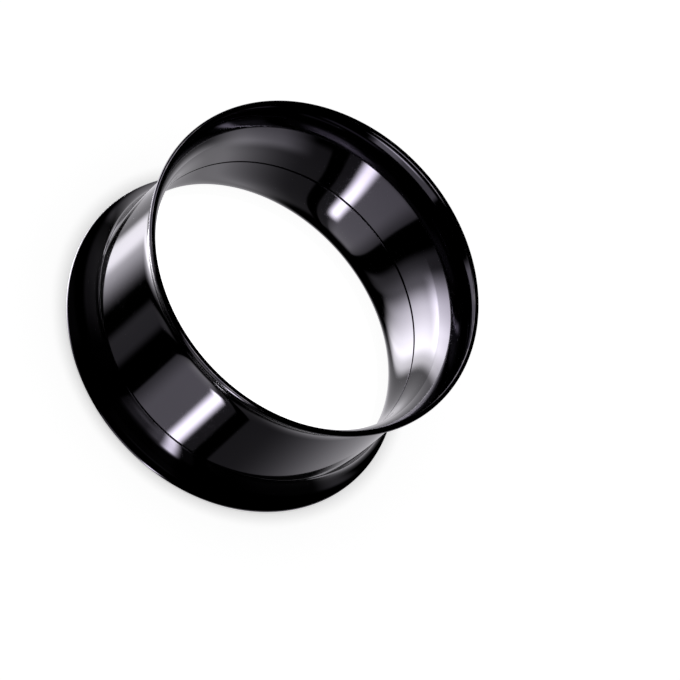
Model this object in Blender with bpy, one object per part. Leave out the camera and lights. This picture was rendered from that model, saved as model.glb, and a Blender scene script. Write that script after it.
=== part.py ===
"""Screw-fit ear tunnel of polished black steel, lying on its back flare.

Two turned pieces make it: a front piece with a flare and a long barrel, and a back piece with a flare
and a threaded neck that screws into the barrel. The axis is +Z and the flat of the back lip is z = 0.
"""

import math

import bmesh
import bpy

MM = 0.001

# The tunnel as a whole
LENGTH = 14.40 * MM
RIM_RADIUS = 13.80 * MM
BARREL_RADIUS = 12.70 * MM
BORE_RADIUS = 11.95 * MM

# A flare, measured from its own end of the tunnel
LIP_THICKNESS = 0.48 * MM
OUTER_FLARE_DEPTH = 3.45 * MM
INNER_FLARE_DEPTH = 4.20 * MM

# Where the two pieces meet
NECK_LENGTH = 3.55 * MM
SEAM_GAP = 0.06 * MM
EDGE_BREAK = 0.04 * MM

# The screw thread: a groove round the neck, and one inside the barrel
THREAD_PITCH = 0.66 * MM
NECK_TURNS = 4
SOCKET_TURNS = 3
NECK_RADIUS = 12.32 * MM
NECK_GROOVE_RADIUS = 12.14 * MM
SOCKET_RADIUS = 12.42 * MM
SOCKET_GROOVE_RADIUS = 12.54 * MM
PLAIN_BAND = 0.12 * MM

# How finely the round shapes are divided
SIDES = 64
ARC_STEPS = 8
LIP_SIDES = 8
GROOVE_RUN_OUT = SIDES // 6

# A groove's cross-section over one pitch: how deep it is at each row, from land to land
GROOVE_SHARES = (0.0, 0.0, 1.0, 1.0)

# Heights worked out from the sizes above
SHOULDER_HEIGHT = OUTER_FLARE_DEPTH
NECK_TOP = SHOULDER_HEIGHT + NECK_LENGTH
BARREL_FOOT = SHOULDER_HEIGHT + SEAM_GAP
SOCKET_TOP = NECK_TOP + SEAM_GAP
NECK_THREAD_FOOT = SHOULDER_HEIGHT + PLAIN_BAND
SOCKET_THREAD_FOOT = NECK_THREAD_FOOT + THREAD_PITCH / 2


def flare_arc(straight_radius, flare_depth, side):
    """The arc from a straight wall to the round lip, tangent to both, as (radius, depth) points.

    side is +1 for the outer face of the flare and -1 for its inner face.
    """
    lip_radius = LIP_THICKNESS / 2
    lip_centre = (RIM_RADIUS - lip_radius, lip_radius)
    spread = lip_centre[0] - straight_radius
    rise = flare_depth - lip_centre[1]
    bend = (spread**2 + rise**2 - lip_radius**2) / (2 * (spread + side * lip_radius))
    centre = (straight_radius + bend, flare_depth)
    sweep = math.atan2(rise, bend - spread)
    points = []
    for step in range(ARC_STEPS + 1):
        angle = sweep * step / ARC_STEPS
        points.append((centre[0] - bend * math.cos(angle), centre[1] - bend * math.sin(angle)))
    return points


def lip_corners():
    """The corners of the lip from its outer side to its inner side, with a small flat at the very end."""
    lip_radius = LIP_THICKNESS / 2
    corner_radius = lip_radius / math.cos(math.pi / LIP_SIDES)
    corners = []
    for corner in range(LIP_SIDES // 2):
        angle = (corner - 0.5) * 2 * math.pi / LIP_SIDES
        radius = RIM_RADIUS - lip_radius + corner_radius * math.cos(angle)
        depth = lip_radius - corner_radius * math.sin(angle)
        corners.append((radius, depth))
    return corners


def flare_outline():
    """A whole flare as (radius, depth below its end), from the outer wall over the lip to the bore."""
    outer = flare_arc(BARREL_RADIUS, OUTER_FLARE_DEPTH, 1)
    inner = flare_arc(BORE_RADIUS, INNER_FLARE_DEPTH, -1)
    return outer + lip_corners() + inner[::-1]


def front_outline():
    """The front piece's section, from the mouth of its socket over the flare to the socket's top."""
    foot = [
        (SOCKET_RADIUS, BARREL_FOOT),
        (BARREL_RADIUS - EDGE_BREAK, BARREL_FOOT),
        (BARREL_RADIUS, BARREL_FOOT + EDGE_BREAK),
    ]
    flare = [(radius, LENGTH - depth) for radius, depth in flare_outline()]
    step = [
        (BORE_RADIUS, SOCKET_TOP + EDGE_BREAK),
        (BORE_RADIUS + EDGE_BREAK, SOCKET_TOP),
        (SOCKET_RADIUS, SOCKET_TOP),
    ]
    return foot + flare + step


def back_outline():
    """The back piece's section, from the top of its neck down the bore, round the lip and to the shoulder."""
    top = [
        (NECK_RADIUS, NECK_TOP - EDGE_BREAK),
        (NECK_RADIUS - EDGE_BREAK, NECK_TOP),
        (BORE_RADIUS + EDGE_BREAK, NECK_TOP),
        (BORE_RADIUS, NECK_TOP - EDGE_BREAK),
    ]
    flare = flare_outline()[::-1]
    flare[-1] = (BARREL_RADIUS, SHOULDER_HEIGHT - EDGE_BREAK)
    shoulder = [
        (BARREL_RADIUS - EDGE_BREAK, SHOULDER_HEIGHT),
        (NECK_RADIUS, SHOULDER_HEIGHT),
    ]
    return top + flare + shoulder


def vertex_at(mesh, radius, height, column):
    angle = 2 * math.pi * column / SIDES
    return mesh.verts.new((radius * math.cos(angle), radius * math.sin(angle), height))


def turn_outline(mesh, outline):
    """Turns an open outline about the axis and returns its rings of vertices."""
    rings = []
    for radius, height in outline:
        rings.append([vertex_at(mesh, radius, height, column) for column in range(SIDES)])
    for near, far in zip(rings, rings[1:]):
        for column in range(SIDES):
            after = (column + 1) % SIDES
            mesh.faces.new((near[column], near[after], far[after], far[column]))
    return rings


def run_out(column, last_column):
    """How much of its full depth the groove has, from 0 at its two ends to 1 along it."""
    return min(1.0, column / GROOVE_RUN_OUT, (last_column - column) / GROOVE_RUN_OUT)


def cut_thread(mesh, low_ring, high_ring, land_radius, groove_radius, foot, turns):
    """A right-hand helical groove in the wall between two rings of one radius."""
    rows = len(GROOVE_SHARES)
    last_column = turns * SIDES
    edge = []
    for column in range(last_column + SIDES + 1):
        edge.append(vertex_at(mesh, land_radius, foot + THREAD_PITCH * column / SIDES, column))
    strip = []
    for column in range(last_column + 1):
        depth = (groove_radius - land_radius) * run_out(column, last_column)
        points = [edge[column]]
        for row in range(1, rows):
            height = foot + THREAD_PITCH * (column / SIDES + row / rows)
            points.append(vertex_at(mesh, land_radius + depth * GROOVE_SHARES[row], height, column))
        points.append(edge[column + SIDES])
        strip.append(points)
    for left, right in zip(strip, strip[1:]):
        for row in range(rows):
            mesh.faces.new((left[row], right[row], right[row + 1], left[row + 1]))
    for column in range(SIDES):
        after = (column + 1) % SIDES
        below = [low_ring[column], low_ring[after]]
        if after == 0:
            below += strip[0][:-1]
        mesh.faces.new(below + [edge[column + 1], edge[column]])
        above = [high_ring[after], high_ring[column]]
        if column == 0:
            above += strip[-1][:0:-1]
        mesh.faces.new(above + [edge[last_column + column], edge[last_column + column + 1]])


def black_steel():
    """Mirror-polished steel with a black plating."""
    material = bpy.data.materials.new("black_plated_steel")
    material.use_nodes = True
    shader = material.node_tree.nodes["Principled BSDF"]
    shader.inputs["Base Color"].default_value = (0.030, 0.030, 0.034, 1.0)
    shader.inputs["Metallic"].default_value = 1.0
    shader.inputs["Roughness"].default_value = 0.08
    return material


def finish_piece(mesh, name, material):
    """Makes an object of the closed mesh, shaded smooth except over its real edges."""
    bmesh.ops.recalc_face_normals(mesh, faces=mesh.faces)
    data = bpy.data.meshes.new(name)
    mesh.to_mesh(data)
    mesh.free()
    data.shade_smooth()
    data.set_sharp_from_angle(angle=math.radians(30))
    data.materials.append(material)
    piece = bpy.data.objects.new(name, data)
    bpy.context.scene.collection.objects.link(piece)
    return piece


def make_front_barrel(material):
    """The front flare and barrel, with a threaded socket in the barrel's open end."""
    mesh = bmesh.new()
    rings = turn_outline(mesh, front_outline())
    cut_thread(
        mesh, rings[0], rings[-1], SOCKET_RADIUS, SOCKET_GROOVE_RADIUS, SOCKET_THREAD_FOOT, SOCKET_TURNS
    )
    return finish_piece(mesh, "front_barrel", material)


def make_screw_back(material):
    """The back flare with its threaded neck."""
    mesh = bmesh.new()
    rings = turn_outline(mesh, back_outline())
    cut_thread(mesh, rings[-1], rings[0], NECK_RADIUS, NECK_GROOVE_RADIUS, NECK_THREAD_FOOT, NECK_TURNS)
    return finish_piece(mesh, "screw_back", material)


for thing in list(bpy.data.objects):
    bpy.data.objects.remove(thing, do_unlink=True)

steel = black_steel()
make_screw_back(steel)
make_front_barrel(steel)
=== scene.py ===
import math

import bmesh
import bpy
from mathutils import Matrix, Vector


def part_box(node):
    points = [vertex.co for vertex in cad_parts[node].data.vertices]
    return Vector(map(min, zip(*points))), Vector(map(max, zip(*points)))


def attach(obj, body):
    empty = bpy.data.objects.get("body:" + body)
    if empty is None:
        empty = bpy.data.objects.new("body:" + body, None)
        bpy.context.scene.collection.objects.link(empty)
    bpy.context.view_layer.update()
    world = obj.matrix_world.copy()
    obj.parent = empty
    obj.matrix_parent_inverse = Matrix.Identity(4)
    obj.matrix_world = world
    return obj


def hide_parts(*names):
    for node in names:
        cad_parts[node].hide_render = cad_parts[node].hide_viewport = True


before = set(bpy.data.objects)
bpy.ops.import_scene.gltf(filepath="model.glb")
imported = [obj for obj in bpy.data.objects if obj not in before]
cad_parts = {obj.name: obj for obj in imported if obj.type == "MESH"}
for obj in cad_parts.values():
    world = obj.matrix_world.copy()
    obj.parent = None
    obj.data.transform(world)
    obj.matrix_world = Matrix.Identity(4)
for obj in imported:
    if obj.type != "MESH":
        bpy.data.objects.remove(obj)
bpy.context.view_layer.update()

# The screw back: the back flare with a short neck, turned from one steel bar, polished to a mirror and
# plated black. The tunnel rests on the round lip of this flare, and the neck screws into the barrel.

MM = 0.001
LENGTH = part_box("front_barrel")[1].z
RIM_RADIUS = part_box("screw_back")[1].x
BARREL_RADIUS = 12.70 * MM
BORE_RADIUS = 11.95 * MM
LIP_RADIUS = 0.24 * MM
OUTER_FLARE_DEPTH = 3.45 * MM
BACK_BORE_DEPTH = 6.84 * MM
BACK_BORE_EARLY = 0.16
BACK_BORE_POWER = 3.2
SEAM_OPENING = 0.06 * MM
SHOULDER_HEIGHT = OUTER_FLARE_DEPTH - SEAM_OPENING
NECK_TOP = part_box("screw_back")[1].z - SEAM_OPENING
NECK_RADIUS = 12.40 * MM
NECK_CORE_RADIUS = 12.20 * MM
ROOT_TOP = SHOULDER_HEIGHT + 0.12 * MM
COLLAR_FOOT = NECK_TOP - 0.10 * MM
EDGE_BREAK = 0.04 * MM
EDGE_HOLD = 0.02 * MM

SHARP_ANGLE = math.radians(35)
SEGMENTS = 512
FLARE_STEPS = 48
BORE_STEPS = 36
LIP_STEPS = 48
EDGE_STEPS = 4


def arc(centre, radius, first, last, steps):
    """Points (radius, height) on an arc, its angles in radians from the outward direction."""
    points = []
    for step in range(steps + 1):
        angle = first + (last - first) * step / steps
        points.append((centre[0] + radius * math.cos(angle), centre[1] + radius * math.sin(angle)))
    return points


def outer_face():
    """The arc from the straight outer wall to the round lip, as (radius, depth below the flare's end)."""
    spread = RIM_RADIUS - LIP_RADIUS - BARREL_RADIUS
    rise = OUTER_FLARE_DEPTH - LIP_RADIUS
    bend = (spread**2 + rise**2 - LIP_RADIUS**2) / (2 * (spread + LIP_RADIUS))
    sweep = math.atan2(rise, bend - spread)
    centre = (BARREL_RADIUS + bend, OUTER_FLARE_DEPTH)
    return arc(centre, bend, math.pi, math.pi + sweep, FLARE_STEPS)


def bore_curve(depth, early, power, end_lean):
    """Points (radius, depth) from the waist of the bore outwards, leaning more and more up to end_lean.

    early is the share of the lean that grows evenly; the rest comes late, the later the higher the power.
    """
    fall = (depth - LIP_RADIUS * (1 - math.sin(end_lean))) / BORE_STEPS
    points = [(BORE_RADIUS, depth)]
    for step in range(BORE_STEPS):
        way = (step + 0.5) / BORE_STEPS
        lean = end_lean * (early * way + (1 - early) * way**power)
        radius, height = points[-1]
        points.append((radius + fall * math.tan(lean), height - fall))
    return points


def inner_face(depth, early, power):
    """The bore's curve with the end lean that brings it in line with the round lip."""
    least, most = 0.1, 1.2
    while most - least > 1e-6:
        end_lean = (least + most) / 2
        curve = bore_curve(depth, early, power, end_lean)
        if curve[-1][0] > RIM_RADIUS - LIP_RADIUS * (1 + math.cos(end_lean)):
            most = end_lean
        else:
            least = end_lean
    return curve


def flare_outline(bore_depth, bore_early, bore_power):
    """A flare from the outer wall over the round lip to the bore, as (radius, depth below its end)."""
    outer = outer_face()
    inner = inner_face(bore_depth, bore_early, bore_power)
    centre = (RIM_RADIUS - LIP_RADIUS, LIP_RADIUS)
    first = math.atan2(outer[-1][1] - centre[1], outer[-1][0] - centre[0])
    last = math.atan2(inner[-1][1] - centre[1], inner[-1][0] - centre[0]) - 2 * math.pi
    return outer + arc(centre, LIP_RADIUS, first, last, LIP_STEPS)[1:-1] + inner[::-1]


def broken_edge(corner_radius, corner_height, out, up, turn):
    """A quarter turn of small round edge, its centre out and up (each +1 or -1) from the corner.

    A point just beyond each of its ends keeps the wall and the face flat up to it.
    """
    centre = (corner_radius + out * EDGE_BREAK, corner_height + up * EDGE_BREAK)
    first = math.atan2(0, -out) if turn == "from the wall" else math.atan2(-up, 0)
    last = math.atan2(-up, 0) if turn == "from the wall" else math.atan2(0, -out)
    if last - first > math.pi:
        last -= 2 * math.pi
    if first - last > math.pi:
        first -= 2 * math.pi
    on_wall = (corner_radius, corner_height + up * (EDGE_BREAK + EDGE_HOLD))
    on_face = (corner_radius + out * (EDGE_BREAK + EDGE_HOLD), corner_height)
    ends = (on_wall, on_face) if turn == "from the wall" else (on_face, on_wall)
    return [ends[0]] + arc(centre, EDGE_BREAK, first, last, EDGE_STEPS) + [ends[1]]


def vertex_at(mesh, radius, height, column):
    """A vertex at one of the columns round the axis."""
    angle = 2 * math.pi * column / SEGMENTS
    return mesh.verts.new((radius * math.cos(angle), radius * math.sin(angle), height))


def turn_outline(mesh, outline, closed=False):
    """Turns an outline about the axis and returns its rings of vertices."""
    rings = []
    for radius, height in outline:
        rings.append([vertex_at(mesh, radius, height, column) for column in range(SEGMENTS)])
    pairs = list(zip(rings, rings[1:]))
    if closed:
        pairs.append((rings[-1], rings[0]))
    for near, far in pairs:
        for column in range(SEGMENTS):
            after = (column + 1) % SEGMENTS
            mesh.faces.new((near[column], near[after], far[after], far[column]))
    return rings


def object_from_mesh(mesh, name):
    """Makes an object in the scene of a mesh that is being built, and closes that mesh."""
    data = bpy.data.meshes.new(name)
    mesh.to_mesh(data)
    mesh.free()
    thing = bpy.data.objects.new(name, data)
    bpy.context.scene.collection.objects.link(thing)
    return thing


def turned_piece(mesh, name):
    """Makes an object of a turned mesh, smooth except over its real edges."""
    bmesh.ops.recalc_face_normals(mesh, faces=mesh.faces)
    piece = object_from_mesh(mesh, name)
    piece.data.shade_smooth()
    piece.data.set_sharp_from_angle(angle=SHARP_ANGLE)
    return piece


flare = flare_outline(BACK_BORE_DEPTH, BACK_BORE_EARLY, BACK_BORE_POWER)[1:]
back_outline = broken_edge(BORE_RADIUS, NECK_TOP, 1, -1, "from the face")
back_outline += flare[::-1]
back_outline += broken_edge(BARREL_RADIUS, SHOULDER_HEIGHT, -1, -1, "from the wall")
back_outline += [
    (NECK_RADIUS, SHOULDER_HEIGHT),
    (NECK_RADIUS, ROOT_TOP),
    (NECK_CORE_RADIUS, ROOT_TOP),
    (NECK_CORE_RADIUS, COLLAR_FOOT),
    (NECK_RADIUS, COLLAR_FOOT),
]
back_outline += broken_edge(NECK_RADIUS, NECK_TOP, -1, -1, "from the wall")
back_mesh = bmesh.new()
turn_outline(back_mesh, back_outline, closed=True)
back = turned_piece(back_mesh, "back_flare_and_neck")


def add_node(tree, kind, inputs=None, **settings):
    """A node with its settings; inputs holds values or sockets by input name or number."""
    node = tree.nodes.new(kind)
    for name, value in settings.items():
        setattr(node, name, value)
    for name, value in (inputs or {}).items():
        if isinstance(value, bpy.types.NodeSocket):
            tree.links.new(value, node.inputs[name])
        else:
            node.inputs[name].default_value = value
    return node


def math_node(tree, operation, first, second=0.0, third=0.0):
    """The result of one operation on one to three numbers or sockets."""
    node = add_node(tree, "ShaderNodeMath", {0: first, 1: second, 2: third}, operation=operation)
    return node.outputs[0]


def ramp_between(tree, value, low, high):
    """0 below low, 1 above high, smooth between them."""
    inputs = {"Value": value, "From Min": low, "From Max": high}
    node = add_node(tree, "ShaderNodeMapRange", inputs, interpolation_type="SMOOTHSTEP")
    return node.outputs["Result"]


def fade_between(tree, value, low, high):
    """1 below low, 0 above high, smooth between them."""
    return math_node(tree, "SUBTRACT", 1.0, ramp_between(tree, value, low, high))


def mix_colours(tree, factor, first, second):
    """The first colour at a factor of 0, the second at 1."""
    inputs = {"Factor": factor, "A": first, "B": second}
    return add_node(tree, "ShaderNodeMix", inputs, data_type="RGBA").outputs[2]


def fine_relief(tree, height, distance):
    """The normal of a surface with a fine relief on it; distance is how deep the relief goes."""
    inputs = {"Height": height, "Strength": 1.0, "Distance": distance}
    return add_node(tree, "ShaderNodeBump", inputs).outputs[0]


def use_group(tree, group, inputs):
    """A node that stands for a node group."""
    return add_node(tree, "ShaderNodeGroup", inputs, node_tree=group)


def new_material(name):
    """A material and its node tree."""
    material = bpy.data.materials.new(name)
    material.use_nodes = True
    return material, material.node_tree


def new_group(name, inputs, outputs):
    """An empty node group with number inputs {name: default} and outputs, and its two end nodes."""
    group = bpy.data.node_groups.new(name, "ShaderNodeTree")
    for title, default in inputs.items():
        socket = group.interface.new_socket(title, in_out="INPUT", socket_type="NodeSocketFloat")
        socket.default_value = default
    for title in outputs:
        group.interface.new_socket(title, in_out="OUTPUT", socket_type="NodeSocketFloat")
    return group, group.nodes.new("NodeGroupInput"), group.nodes.new("NodeGroupOutput")


def round_coordinates(tree):
    """(distance from the axis, height, angle about the axis in radians) of the point being shaded."""
    point = tree.nodes.new("ShaderNodeTexCoord").outputs["Object"]
    place = add_node(tree, "ShaderNodeSeparateXYZ", {0: point})
    flat = add_node(tree, "ShaderNodeCombineXYZ", {"X": place.outputs["X"], "Y": place.outputs["Y"]})
    radius = add_node(tree, "ShaderNodeVectorMath", {0: flat.outputs[0]}, operation="LENGTH")
    angle = math_node(tree, "ARCTAN2", place.outputs["Y"], place.outputs["X"])
    return radius.outputs["Value"], place.outputs["Z"], angle


def make_turning_lines():
    """The fine rings that turning and buffing leave round the piece."""
    inputs = {"Spacing": 0.05 * MM, "Patchiness": 0.5}
    group, start, end = new_group("turning_lines", inputs, ["Lines"])
    radius, height = round_coordinates(group)[:2]
    across = math_node(group, "DIVIDE", radius, start.outputs["Spacing"])
    along = math_node(group, "DIVIDE", height, start.outputs["Spacing"])
    rings = add_node(group, "ShaderNodeCombineXYZ", {"X": across, "Y": along})
    pattern = {"Vector": rings.outputs[0], "Scale": 1.0, "Detail": 2.0}
    lines = add_node(group, "ShaderNodeTexNoise", pattern)
    place = group.nodes.new("ShaderNodeTexCoord").outputs["Object"]
    patches = add_node(group, "ShaderNodeTexNoise", {"Vector": place, "Scale": 260.0, "Detail": 2.0})
    worn = ramp_between(group, patches.outputs["Fac"], 0.35, 0.65)
    lost = math_node(group, "MULTIPLY", worn, start.outputs["Patchiness"])
    kept = math_node(group, "SUBTRACT", 1.0, lost)
    centred = math_node(group, "SUBTRACT", lines.outputs["Fac"], 0.5)
    shown = math_node(group, "MULTIPLY_ADD", centred, kept, 0.5)
    group.links.new(shown, end.inputs["Lines"])
    return group


def make_hairlines():
    """Short fine scratches, most of them a little aslant of the turning."""
    slants_and_seeds = ((0.35, 3.1), (-0.8, 11.7))
    scratch_width = 0.02 * MM
    fewest, share_weight, softness = 0.86, 0.3, 0.05
    inputs = {"Scratch Length": 3.0 * MM, "Share": 0.3}
    group, start, end = new_group("hairlines", inputs, ["Scratches"])
    height, angle = round_coordinates(group)[1:]
    round_way = math_node(group, "MULTIPLY", angle, BARREL_RADIUS)
    marks = []
    for slant, seed in slants_and_seeds:
        along = math_node(group, "MULTIPLY_ADD", height, slant, round_way)
        along = math_node(group, "DIVIDE", along, start.outputs["Scratch Length"])
        across = math_node(group, "MULTIPLY_ADD", round_way, -slant, height)
        across = math_node(group, "DIVIDE", across, scratch_width)
        place = add_node(group, "ShaderNodeCombineXYZ", {"X": along, "Y": across, "Z": seed})
        pattern = {"Vector": place.outputs[0], "Scale": 1.0, "Detail": 0.0}
        noise = add_node(group, "ShaderNodeTexNoise", pattern)
        limit = math_node(group, "MULTIPLY_ADD", start.outputs["Share"], -share_weight, fewest)
        top = math_node(group, "ADD", limit, softness)
        marks.append(ramp_between(group, noise.outputs["Fac"], limit, top))
    group.links.new(math_node(group, "MAXIMUM", *marks), end.inputs["Scratches"])
    return group


def make_lip_rub():
    """Where the two lips rub on whatever the tunnel lies on: strongest at the very ends."""
    group, start, end = new_group("lip_rub", {"Reach": 0.3 * MM}, ["Rubbed"])
    height = round_coordinates(group)[1]
    from_middle = math_node(group, "ABSOLUTE", math_node(group, "SUBTRACT", height, LENGTH / 2))
    from_end = math_node(group, "SUBTRACT", LENGTH / 2, from_middle)
    near_end = fade_between(group, from_end, 0.0, start.outputs["Reach"])
    place = group.nodes.new("ShaderNodeTexCoord").outputs["Object"]
    patches = add_node(group, "ShaderNodeTexNoise", {"Vector": place, "Scale": 900.0, "Detail": 3.0})
    patchy = ramp_between(group, patches.outputs["Fac"], 0.42, 0.62)
    group.links.new(math_node(group, "MULTIPLY", near_end, patchy), end.inputs["Rubbed"])
    return group


turning_lines = make_turning_lines()
hairlines = make_hairlines()
lip_rub = make_lip_rub()


def make_black_plating():
    """Black plating over polished steel: a dark violet-grey mirror."""
    darker = (0.041, 0.039, 0.046, 1.0)
    lighter = (0.050, 0.047, 0.056, 1.0)
    steel = (0.22, 0.21, 0.20, 1.0)
    wear = 0.25
    relief = 0.00006 * MM
    material, tree = new_material("black_plating")
    shader = tree.nodes["Principled BSDF"]
    lines = use_group(tree, turning_lines, {"Spacing": 0.12 * MM, "Patchiness": 0.6})
    marks = use_group(tree, hairlines, {"Scratch Length": 2.5 * MM, "Share": 0.25})
    rub = use_group(tree, lip_rub, {"Reach": 0.25 * MM})
    place = tree.nodes.new("ShaderNodeTexCoord").outputs["Object"]
    clouds = add_node(tree, "ShaderNodeTexNoise", {"Vector": place, "Scale": 140.0, "Detail": 4.0})
    tone = mix_colours(tree, clouds.outputs["Fac"], darker, lighter)
    thin = math_node(tree, "MULTIPLY", rub.outputs["Rubbed"], wear)
    tree.links.new(mix_colours(tree, thin, tone, steel), shader.inputs["Base Color"])
    cloudy = math_node(tree, "MULTIPLY_ADD", clouds.outputs["Fac"], 0.03, 0.035)
    scratched = math_node(tree, "MULTIPLY_ADD", marks.outputs["Scratches"], 0.12, cloudy)
    rough = math_node(tree, "MULTIPLY_ADD", rub.outputs["Rubbed"], 0.12, scratched)
    tree.links.new(rough, shader.inputs["Roughness"])
    tree.links.new(fine_relief(tree, lines.outputs["Lines"], relief), shader.inputs["Normal"])
    shader.inputs["Metallic"].default_value = 1.0
    return material


black_plating = make_black_plating()
back.data.materials.append(black_plating)
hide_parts("screw_back")
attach(back, "back")

# The thread on the neck: a fine right-hand groove cut after the plating, so the steel shows bare and
# bright between the black shoulder and the black collar at the neck's top.

THREAD_PITCH = 0.66 * MM
THREAD_ROWS = 10
NECK_TURNS = 4
NECK_GROOVE_RADIUS = 12.25 * MM
THREAD_FOOT = ROOT_TOP + 0.01 * MM
RUN_OUT_COLUMNS = SEGMENTS // 6
LAND_SHARE = 0.34
GROOVE_POWER = 1.5


def groove_share(row):
    """How deep the groove is at a row, 0 on the land to 1 at its round bottom."""
    share = row / THREAD_ROWS
    if share <= LAND_SHARE:
        return 0.0
    return math.sin(math.pi * (share - LAND_SHARE) / (1 - LAND_SHARE)) ** GROOVE_POWER


def cut_thread(mesh, low_ring, high_ring, land_radius, groove_radius, foot, turns):
    """A right-hand helical groove in the wall between two rings of one radius."""
    last_column = turns * SEGMENTS
    edge = []
    for column in range(last_column + SEGMENTS + 1):
        edge.append(vertex_at(mesh, land_radius, foot + THREAD_PITCH * column / SEGMENTS, column))
    strip = []
    for column in range(last_column + 1):
        run_out = min(1.0, column / RUN_OUT_COLUMNS, (last_column - column) / RUN_OUT_COLUMNS)
        points = [edge[column]]
        for row in range(1, THREAD_ROWS):
            radius = land_radius + (groove_radius - land_radius) * run_out * groove_share(row)
            height = foot + THREAD_PITCH * (column / SEGMENTS + row / THREAD_ROWS)
            points.append(vertex_at(mesh, radius, height, column))
        points.append(edge[column + SEGMENTS])
        strip.append(points)
    for left, right in zip(strip, strip[1:]):
        for row in range(THREAD_ROWS):
            mesh.faces.new((left[row], right[row], right[row + 1], left[row + 1]))
    for column in range(SEGMENTS):
        after = (column + 1) % SEGMENTS
        below = [low_ring[column], low_ring[after]]
        if after == 0:
            below += strip[0][:-1]
        mesh.faces.new(below + [edge[column + 1], edge[column]])
        above = [high_ring[after], high_ring[column]]
        if column == 0:
            above += strip[-1][:0:-1]
        mesh.faces.new(above + [edge[last_column + column], edge[last_column + column + 1]])


thread_outline = [
    (NECK_RADIUS, ROOT_TOP),
    (NECK_CORE_RADIUS, ROOT_TOP),
    (NECK_CORE_RADIUS, COLLAR_FOOT),
    (NECK_RADIUS, COLLAR_FOOT),
]
thread_mesh = bmesh.new()
thread_rings = turn_outline(thread_mesh, thread_outline)
cut_thread(
    thread_mesh,
    thread_rings[0],
    thread_rings[-1],
    NECK_RADIUS,
    NECK_GROOVE_RADIUS,
    THREAD_FOOT,
    NECK_TURNS,
)
thread = turned_piece(thread_mesh, "neck_thread")


def make_bare_steel():
    """Bright steel straight from the cutter, with the tool's fine lines in it."""
    darker = (0.50, 0.49, 0.50, 1.0)
    lighter = (0.70, 0.69, 0.70, 1.0)
    relief = 0.002 * MM
    material, tree = new_material("bare_turned_steel")
    shader = tree.nodes["Principled BSDF"]
    lines = use_group(tree, turning_lines, {"Spacing": 0.03 * MM, "Patchiness": 0.2})
    marks = use_group(tree, hairlines, {"Scratch Length": 1.2 * MM, "Share": 0.5})
    tone = mix_colours(tree, lines.outputs["Lines"], darker, lighter)
    tree.links.new(tone, shader.inputs["Base Color"])
    rough = math_node(tree, "MULTIPLY_ADD", lines.outputs["Lines"], 0.14, 0.14)
    rough = math_node(tree, "MULTIPLY_ADD", marks.outputs["Scratches"], 0.15, rough)
    tree.links.new(rough, shader.inputs["Roughness"])
    tree.links.new(fine_relief(tree, lines.outputs["Lines"], relief), shader.inputs["Normal"])
    shader.inputs["Metallic"].default_value = 1.0
    return material


thread.data.materials.append(make_bare_steel())
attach(thread, "back")

# The front barrel: the front flare and the long straight barrel in one turned piece, polished and plated
# like the back. Its foot is bored wider and threaded inside. It meets the back's shoulder at a fine seam,
# which is a little wider here than on the real tunnel so that it shows.

BARREL_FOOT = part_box("front_barrel")[0].z + SEAM_OPENING
SOCKET_TOP = NECK_TOP + (BARREL_FOOT - SHOULDER_HEIGHT)
FRONT_BORE_DEPTH = 7.20 * MM
FRONT_BORE_EARLY = 0.19
FRONT_BORE_POWER = 2.4
SOCKET_RADIUS = 12.47 * MM
SOCKET_GROOVE_RADIUS = 12.58 * MM
SOCKET_THREAD_FOOT = THREAD_FOOT + THREAD_PITCH / 2
SOCKET_TURNS = 3

front_outline = [(SOCKET_RADIUS, BARREL_FOOT)]
front_outline += broken_edge(BARREL_RADIUS, BARREL_FOOT, -1, 1, "from the face")
front_flare = flare_outline(FRONT_BORE_DEPTH, FRONT_BORE_EARLY, FRONT_BORE_POWER)
front_outline += [(radius, LENGTH - depth) for radius, depth in front_flare]
front_outline += broken_edge(BORE_RADIUS, SOCKET_TOP, 1, 1, "from the wall")
front_outline += [(SOCKET_RADIUS, SOCKET_TOP)]
front_mesh = bmesh.new()
front_rings = turn_outline(front_mesh, front_outline)
cut_thread(
    front_mesh,
    front_rings[0],
    front_rings[-1],
    SOCKET_RADIUS,
    SOCKET_GROOVE_RADIUS,
    SOCKET_THREAD_FOOT,
    SOCKET_TURNS,
)
front = turned_piece(front_mesh, "front_flare_and_barrel")
front.data.materials.append(black_plating)
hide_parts("front_barrel")
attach(front, "front")

# The table: a white sheet lit a little from below, so that shadows on it stay pale, with painted light
# under
# the bore: it glows brighter there to lift the shade inside the bore. It is left out of mirror
# reflections, because the polished walls lean towards it.

TABLE_RADIUS = 600 * MM
TABLE_GLOW = 0.55
# Painted light: inside this radius the table glows brighter, to lift the shade inside the bore
BORE_PAINTED_LIGHT = 0.94
BORE_PAINTED_LIGHT_RADIUS = 13.40 * MM
BORE_PAINTED_LIGHT_END_RADIUS = 13.75 * MM

table_mesh = bmesh.new()
bmesh.ops.create_circle(table_mesh, cap_ends=True, radius=TABLE_RADIUS, segments=64)
table = object_from_mesh(table_mesh, "table")
table.visible_glossy = False


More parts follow.
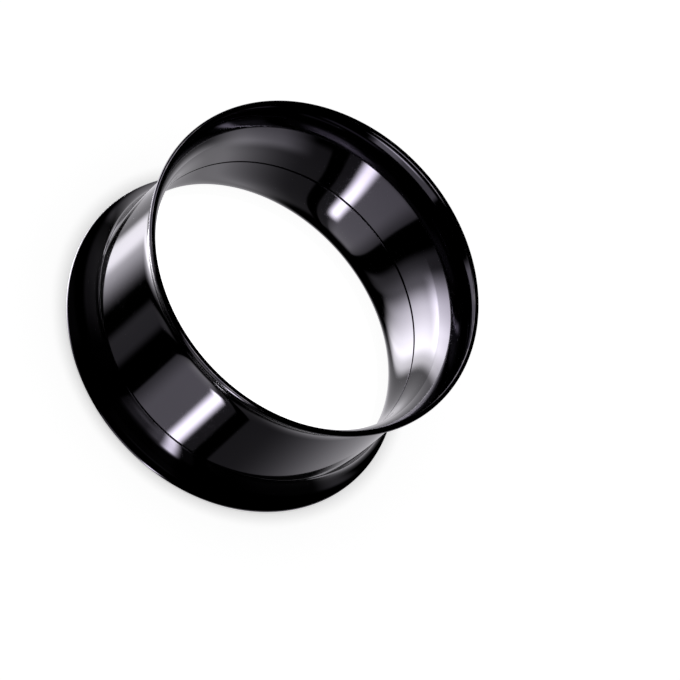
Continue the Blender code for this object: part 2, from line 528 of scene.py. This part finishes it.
def make_table_white():
    """Matt white, slightly luminous, and painted brighter under the bore, a painted light that lifts the
    shade there.
    """
    material, tree = new_material("table_white")
    shader = tree.nodes["Principled BSDF"]
    radius = round_coordinates(tree)[0]
    # painted light: a brighter glow under the bore, fading out just before the lip's radius
    outside = ramp_between(tree, radius, BORE_PAINTED_LIGHT_RADIUS, BORE_PAINTED_LIGHT_END_RADIUS)
    glow = math_node(tree, "MULTIPLY_ADD", outside, TABLE_GLOW - BORE_PAINTED_LIGHT, BORE_PAINTED_LIGHT)
    tree.links.new(glow, shader.inputs["Emission Strength"])
    shader.inputs["Base Color"].default_value = (0.88, 0.88, 0.88, 1.0)
    shader.inputs["Roughness"].default_value = 0.6
    shader.inputs["Specular IOR Level"].default_value = 0.0
    shader.inputs["Emission Color"].default_value = (1.0, 1.0, 1.0, 1.0)
    return material


table.data.materials.append(make_table_white())

# The light tent: a globe round the tunnel with lit cards on it and black cloth between them. Only
# mirror reflections see it, and it throws no light on the table. The cards are set for the photo's view.

TENT_RADIUS = 400 * MM
CARD_COLOUR = (1.0, 0.975, 1.03, 1.0)

# Each card: its direction round the tent and its height, in degrees seen from the tunnel's middle
CARD_INPUTS = ["Middle", "Half Width", "Side Fade", "Lowest", "Highest", "End Fade", "Light"]
CARDS = {
    "front_panel": (-88, 21, 1.2, -77, -25, 2, 0.35),
    "front_panel_end": (-60.5, 6.5, 1.2, -77, -25, 2, 0.14),
    "front_panel_glow": (-87, 16, 8, -77, -25, 5, 0.9),
    "front_panel_top": (-86, 22, 3, -26, 0, 5, 0.35),
    "front_tube": (-69.3, 4.2, 3.6, -61, -22, 3, 20),
    "front_tube_top": (-70, 6, 4, -22, -3, 5, 1.2),
    "right_cloth": (28, 71, 1.2, -74, -34, 4, 0.13),
    "right_cloth_top": (4, 24, 14, -46, -20, 3.5, 0.9),
    "right_rise": (58, 55, 32, -70, -42, 6, 0.5),
    "left_cloth": (120, 22, 6, -66, -22, 6, 0.5),
    "left_tube": (155, 10.5, 5.5, -66, -22, 5, 2.4),
    "left_lamp": (166, 16, 14, -66, -22, 5, 2.6),
    "left_lamp_top": (184, 21, 14, -44, -20, 4, 8.5),
    "left_panel": (-140, 9, 4, -70, -14, 6, 0.25),
    "high_left": (-166, 20, 5, -1, 18, 3, 2.0),
    "high_front": (-84, 22, 2, -1, 11, 2, 0.95),
    "high_front_left": (-69, 9, 4, -1, 11, 2, 0.8),
    "rim_line_front": (-76, 14, 8, 8.5, 10, 0.8, 8),
    "rim_glint_front": (-84, 25, 6, 32, 48, 3, 4.5),
    "rim_glint_left": (165, 30, 12, 32, 46, 3, 4.5),
}


def angle_between(tree, angle, middle):
    """How far an angle is from the middle one, either way round, in degrees."""
    away = math_node(tree, "SUBTRACT", angle, middle)
    return math_node(tree, "ABSOLUTE", math_node(tree, "WRAP", away, 180.0, -180.0))


def card_light(tree, strength):
    """Light that is left out once a ray has bounced off a matt surface."""
    path = tree.nodes.new("ShaderNodeLightPath")
    direct = math_node(tree, "LESS_THAN", path.outputs["Diffuse Depth"], 0.5)
    strength = math_node(tree, "MULTIPLY", strength, direct)
    inputs = {"Color": CARD_COLOUR, "Strength": strength}
    return add_node(tree, "ShaderNodeEmission", inputs).outputs[0]


def set_surface(tree, shader):
    """Gives a node tree that was cleared its output."""
    output = tree.nodes.new("ShaderNodeOutputMaterial")
    tree.links.new(shader, output.inputs["Surface"])


def show_in_mirrors_only(thing):
    """Hides a thing from everything but mirror reflections."""
    thing.visible_camera = False
    thing.visible_diffuse = False
    thing.visible_shadow = False
    thing.visible_transmission = False


def make_card():
    """One card of light on the tent, with soft edges."""
    inputs = {name: 0.0 for name in ["Round", "Height"] + CARD_INPUTS}
    group, start, end = new_group("card", inputs, ["Glow"])
    value = start.outputs
    away = angle_between(group, value["Round"], value["Middle"])
    near = math_node(group, "SUBTRACT", value["Half Width"], value["Side Fade"])
    far = math_node(group, "ADD", value["Half Width"], value["Side Fade"])
    sides = fade_between(group, away, near, far)
    low = math_node(group, "SUBTRACT", value["Lowest"], value["End Fade"])
    low_full = math_node(group, "ADD", value["Lowest"], value["End Fade"])
    foot = ramp_between(group, value["Height"], low, low_full)
    high_full = math_node(group, "SUBTRACT", value["Highest"], value["End Fade"])
    high = math_node(group, "ADD", value["Highest"], value["End Fade"])
    head = fade_between(group, value["Height"], high_full, high)
    glow = math_node(group, "MULTIPLY", math_node(group, "MULTIPLY", sides, foot), head)
    group.links.new(math_node(group, "MULTIPLY", glow, value["Light"]), end.inputs["Glow"])
    return group


def make_tent_cloth():
    """The tent's cloth: black, with the sum of all the cards' light on it."""
    material, tree = new_material("tent_cloth")
    tree.nodes.clear()
    place = tree.nodes.new("ShaderNodeTexCoord").outputs["Object"]
    outward = add_node(tree, "ShaderNodeVectorMath", {0: place}, operation="NORMALIZE")
    parts = add_node(tree, "ShaderNodeSeparateXYZ", {0: outward.outputs["Vector"]})
    angle = math_node(tree, "ARCTAN2", parts.outputs["Y"], parts.outputs["X"])
    angle = math_node(tree, "DEGREES", angle)
    height = math_node(tree, "DEGREES", math_node(tree, "ARCSINE", parts.outputs["Z"]))
    card = make_card()
    total = 0.0
    for numbers in CARDS.values():
        inputs = dict(zip(CARD_INPUTS, numbers))
        inputs.update({"Round": angle, "Height": height})
        node = use_group(tree, card, inputs)
        total = math_node(tree, "ADD", node.outputs["Glow"], total)
    set_surface(tree, card_light(tree, total))
    material.cycles.emission_sampling = "NONE"
    return material


tent_mesh = bmesh.new()
bmesh.ops.create_icosphere(tent_mesh, subdivisions=5, radius=TENT_RADIUS)
tent = object_from_mesh(tent_mesh, "light_tent")
tent.location = (0, 0, LENGTH / 2)
show_in_mirrors_only(tent)
tent.data.materials.append(make_tent_cloth())

# The black tape: a band just outside the back flare that only mirror reflections see. It keeps the flare
# dim below the seam in the photo's view, and thins out towards the panel and the tube.

TAPE_RADIUS = 14.0 * MM
TAPE_FOOT = 0.35 * MM
TAPE_TOP = 1.82 * MM
TAPE_START = -196
TAPE_END = 4
TAPE_FADE = 22
TAPE_DENSITY = 0.99
TAPE_THICK_BELOW = 1.55 * MM
TAPE_THIN_ABOVE = 1.70 * MM
TAPE_THIN_MIDDLE = -84
TAPE_THIN_HALF_WIDTH = 20
TAPE_THIN_DENSITY = 0.80
TAPE_GAP_MIDDLE = -80
TAPE_GAP_HALF_WIDTH = 6
TAPE_GAP_DENSITY = 0.35


def upright_band(name, radius, foot, top, directions, closed):
    """A thin upright band that only mirrors see, through directions in degrees round the axis."""
    mesh = bmesh.new()
    rings = []
    for height in (foot, top):
        ring = []
        for degrees in directions:
            angle = math.radians(degrees)
            place = (radius * math.cos(angle), radius * math.sin(angle), height)
            ring.append(mesh.verts.new(place))
        rings.append(ring)
    low, high = rings
    for step in range(len(low) if closed else len(low) - 1):
        after = (step + 1) % len(low)
        mesh.faces.new((low[step], low[after], high[after], high[step]))
    band = object_from_mesh(mesh, name)
    show_in_mirrors_only(band)
    return band


def make_tape_black():
    """Black gauze that lets some light through, more in front and most of all before the tube."""
    material, tree = new_material("tape_black")
    tree.nodes.clear()
    height, angle = round_coordinates(tree)[1:]
    angle = math_node(tree, "DEGREES", angle)
    away = angle_between(tree, angle, (TAPE_START + TAPE_END) / 2)
    reach = (TAPE_END - TAPE_START) / 2
    kept = fade_between(tree, away, reach - TAPE_FADE, reach)
    high = ramp_between(tree, height, TAPE_THICK_BELOW, TAPE_THIN_ABOVE)
    density = TAPE_DENSITY
    for middle, half_width, thinner in (
        (TAPE_THIN_MIDDLE, TAPE_THIN_HALF_WIDTH, TAPE_THIN_DENSITY - TAPE_DENSITY),
        (TAPE_GAP_MIDDLE, TAPE_GAP_HALF_WIDTH, TAPE_GAP_DENSITY - TAPE_THIN_DENSITY),
    ):
        away = angle_between(tree, angle, middle)
        inside = fade_between(tree, away, half_width * 0.5, half_width * 1.5)
        inside = math_node(tree, "MULTIPLY", inside, high)
        density = math_node(tree, "MULTIPLY_ADD", inside, thinner, density)
    density = math_node(tree, "MULTIPLY", kept, density)
    clear = tree.nodes.new("ShaderNodeBsdfTransparent")
    black = add_node(tree, "ShaderNodeEmission", {"Color": (0.0, 0.0, 0.0, 1.0), "Strength": 0.0})
    parts = {0: density, 1: clear.outputs[0], 2: black.outputs[0]}
    set_surface(tree, add_node(tree, "ShaderNodeMixShader", parts).outputs[0])
    return material


tape_directions = range(TAPE_START, TAPE_END + 1)
tape = upright_band("black_tape", TAPE_RADIUS, TAPE_FOOT, TAPE_TOP, tape_directions, closed=False)
tape.data.materials.append(make_tape_black())

# The low screen: a ring of gauze below the tunnel, seen only in mirror reflections through the bore. Its
# light fills the right-hand side of the bore's wall in the photo's view, and its grey part dims the
# wall's upper left end.

SCREEN_RADIUS = 20 * MM
SCREEN_FOOT = -70 * MM
SCREEN_TOP = -12.5 * MM

# Its cards: middle, half width and side fade in degrees, lowest, highest, foot fade and head fade in
# millimetres, and light
SCREEN_CARDS = {
    "bright": (160, 24, 12, -40, -13.5, 20, 0.7, 5.8),
    "edge_glow": (176, 22, 20, -40, -13.5, 20, 0.7, 2),
}

# Its grey part: how far round it lies and how much it holds back
SHADE_MIDDLE = 98
SHADE_HALF_WIDTH = 24
SHADE_FADE = 14
SHADE_DENSITY = 0.38


def make_lit_gauze():
    """Gauze that adds light to what shows through it, clear but for its grey part."""
    material, tree = new_material("lit_gauze")
    tree.nodes.clear()
    height, angle = round_coordinates(tree)[1:]
    angle = math_node(tree, "DEGREES", angle)
    height = math_node(tree, "DIVIDE", height, MM)
    away = angle_between(tree, angle, SHADE_MIDDLE)
    left = ramp_between(tree, away, SHADE_HALF_WIDTH - SHADE_FADE, SHADE_HALF_WIDTH + SHADE_FADE)
    left = math_node(tree, "MULTIPLY_ADD", left, SHADE_DENSITY, 1.0 - SHADE_DENSITY)
    total = 0.0
    for numbers in SCREEN_CARDS.values():
        middle, half_width, side_fade, lowest, highest, foot_fade, head_fade, light = numbers
        away = angle_between(tree, angle, middle)
        sides = fade_between(tree, away, half_width - side_fade, half_width + side_fade)
        foot = ramp_between(tree, height, lowest - foot_fade, lowest + foot_fade)
        head = fade_between(tree, height, highest - head_fade, highest + head_fade)
        glow = math_node(tree, "MULTIPLY", math_node(tree, "MULTIPLY", sides, foot), head)
        total = math_node(tree, "MULTIPLY_ADD", glow, light, total)
    clear = add_node(tree, "ShaderNodeBsdfTransparent", {"Color": left})
    parts = {0: clear.outputs[0], 1: card_light(tree, total)}
    set_surface(tree, add_node(tree, "ShaderNodeAddShader", parts).outputs[0])
    material.cycles.emission_sampling = "NONE"
    return material


screen_directions = range(0, 360, 3)
screen = upright_band(
    "low_screen", SCREEN_RADIUS, SCREEN_FOOT, SCREEN_TOP, screen_directions, closed=True
)
screen.data.materials.append(make_lit_gauze())

# The lamp and the room: a small lamp far above, which reaches the table inside the bore too, in a room
# of even white light.

LAMP_HEIGHT = 500 * MM
LAMP_SIZE = 60 * MM
LAMP_POWER = 0.85
ROOM_LIGHT = 0.22
BACKDROP_LIGHT = 0.98

lamp_data = bpy.data.lights.new("overhead_lamp", "AREA")
lamp_data.shape = "DISK"
lamp_data.size = LAMP_SIZE
lamp_data.energy = LAMP_POWER
lamp = bpy.data.objects.new("overhead_lamp", lamp_data)
bpy.context.scene.collection.objects.link(lamp)
lamp.location = (0, 0, LAMP_HEIGHT)
lamp.visible_glossy = False

room = bpy.data.worlds.new("white_room")
room.use_nodes = True
bpy.context.scene.world = room
room_tree = room.node_tree
background = room_tree.nodes["Background"]
path = room_tree.nodes.new("ShaderNodeLightPath")
extra = BACKDROP_LIGHT - ROOM_LIGHT
seen = math_node(room_tree, "MULTIPLY_ADD", path.outputs["Is Camera Ray"], extra, ROOM_LIGHT)
background.inputs["Color"].default_value = (1.0, 1.0, 1.0, 1.0)
room_tree.links.new(seen, background.inputs["Strength"])

# The camera: without perspective, so that the two rims look the same size, and rolled so that the tunnel
# leans in the picture as it does in the photo, although it lies flat.

CAMERA_HEIGHT_ANGLE = math.radians(53.13)
CAMERA_ROLL = math.radians(47.70)
PICTURE_WIDTH = 51.06 * MM
AIM_RIGHT = 5.07 * MM
AIM_UP = -2.53 * MM
CAMERA_DISTANCE = 80 * MM

camera_data = bpy.data.cameras.new("camera")
camera_data.type = "ORTHO"
camera_data.ortho_scale = PICTURE_WIDTH
camera_data.clip_start = 1 * MM
camera_data.clip_end = 2000 * MM
camera = bpy.data.objects.new("camera", camera_data)
bpy.context.scene.collection.objects.link(camera)
tilt = Matrix.Rotation(math.pi / 2 - CAMERA_HEIGHT_ANGLE, 4, "X")
turned = tilt @ Matrix.Rotation(CAMERA_ROLL, 4, "Z")
offset = turned.to_3x3() @ Vector((AIM_RIGHT, AIM_UP, CAMERA_DISTANCE))
camera.matrix_world = Matrix.Translation(Vector((0, 0, LENGTH / 2)) + offset) @ turned
bpy.context.scene.camera = camera
bpy.context.scene.view_settings.view_transform = "Standard"
